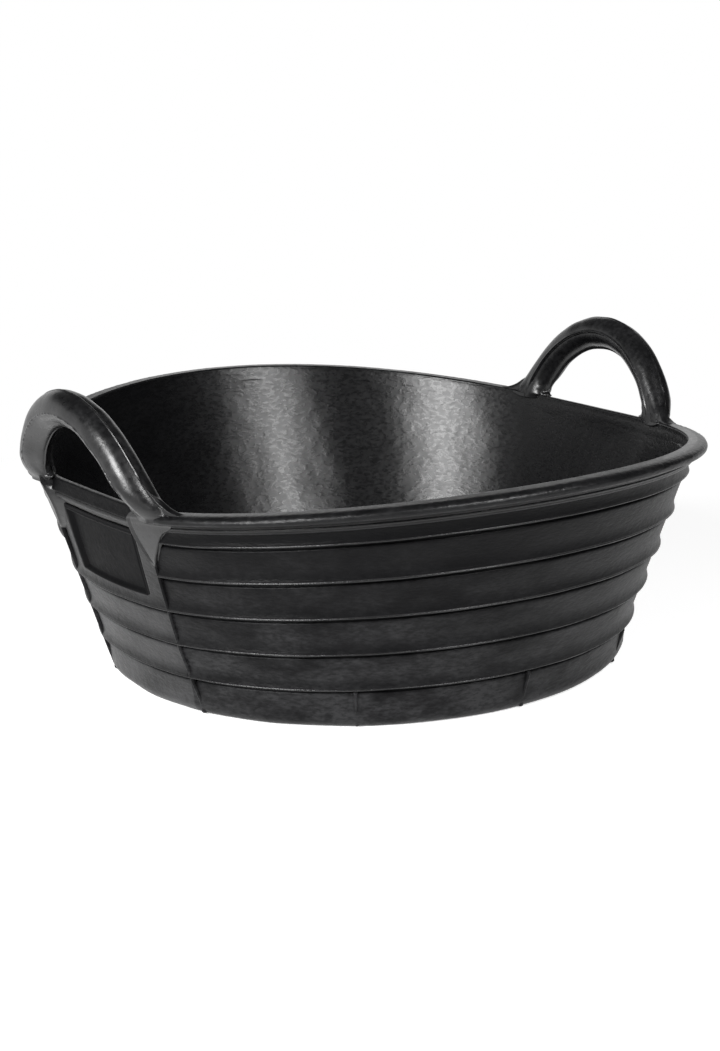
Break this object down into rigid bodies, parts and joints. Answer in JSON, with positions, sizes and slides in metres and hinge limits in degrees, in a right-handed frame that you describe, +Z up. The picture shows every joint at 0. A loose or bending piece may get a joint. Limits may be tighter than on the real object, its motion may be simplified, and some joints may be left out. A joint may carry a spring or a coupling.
{
  "type": "rubber feed tub",
  "caption": "Round moulded-rubber feed tub with a lapped, widening wall, a beaded rim that dips at the ends, and upright arched carrying grips that flex.",
  "frame": {"origin": "centre of the flat underside, on the ground", "axes": "+Z up, +X towards the right grip, -Y the front; the grips are at +X and -X"},
  "size_m": [0.5042, 0.5458, 0.2297],
  "materials": {
    "rubber": "satin",
    "cord": "matte"
  },
  "bodies": {
    "tub": {"floor_disc": "rubber", "front_wall": "rubber", "back_wall": "rubber", "left_end_wall": "rubber", "right_end_wall": "rubber", "rim_bead": "rubber", "rim_collar": "rubber", "left_front_gusset": "rubber", "left_back_gusset": "rubber", "right_front_gusset": "rubber", "right_back_gusset": "rubber", "left_front_lap": "rubber", "left_back_lap": "rubber", "right_front_lap": "rubber", "right_back_lap": "rubber", "left_panel": "rubber", "right_panel": "rubber", "seam_ridges": "rubber", "base_ribs": "rubber"},
    "left_grip": {"left_handle": "rubber", "left_handle_cord": "cord"},
    "right_grip": {"right_handle": "rubber", "right_handle_cord": "cord"}
  },
  "joints": [
    {"name": "left_handle_flex", "type": "hinge", "parent": "tub", "child": "left_grip", "pos_m": [-0.229, 0, 0.17286], "axis": [0, -1, 0], "range_deg": [-40, 30], "stiffness_Nm_per_rad": 6},
    {"name": "right_handle_flex", "type": "hinge", "parent": "tub", "child": "right_grip", "pos_m": [0.229, 0, 0.17286], "axis": [0, 1, 0], "range_deg": [-40, 30], "stiffness_Nm_per_rad": 6}
  ]
}
